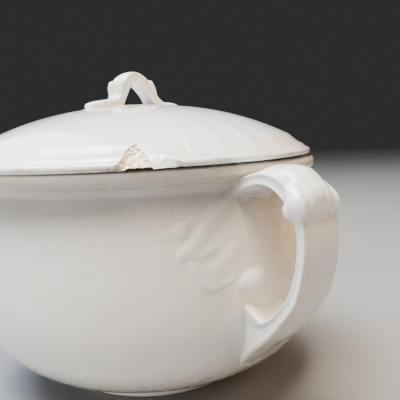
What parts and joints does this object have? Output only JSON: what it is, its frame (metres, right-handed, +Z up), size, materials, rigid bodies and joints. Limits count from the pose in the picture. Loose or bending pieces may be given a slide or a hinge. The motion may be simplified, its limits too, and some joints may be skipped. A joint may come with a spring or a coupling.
{
  "type": "lidded chamber pot",
  "caption": "Bellied glazed earthenware pot on a foot ring, with a strap handle on its side and a loose domed lid with a small arch handle.",
  "frame": {"origin": "on the table, under the middle of the whole object's box", "axes": "+Z up; +X from the bowl's axis through the strap handle; Y along the lid's arch handle"},
  "size_m": [0.2826, 0.2439, 0.2074],
  "materials": {
    "pot_glaze": "glossy white glaze, warm with age",
    "pot_handle_glaze": "glossy white glaze",
    "lid_glaze": "glossy white glaze, bare body in the chip",
    "lid_handle_glaze": "glossy white glaze with tan stains"
  },
  "bodies": {
    "pot": {"pot_body": "pot_glaze", "pot_handle": "pot_handle_glaze"},
    "lid": {"lid_dome": "lid_glaze", "lid_handle": "lid_handle_glaze"}
  },
  "joints": [
    {"name": "lid_lift", "type": "slide", "parent": "pot", "child": "lid", "axis": [0, 0, 1], "range_m": [0, 0.15]}
  ]
}
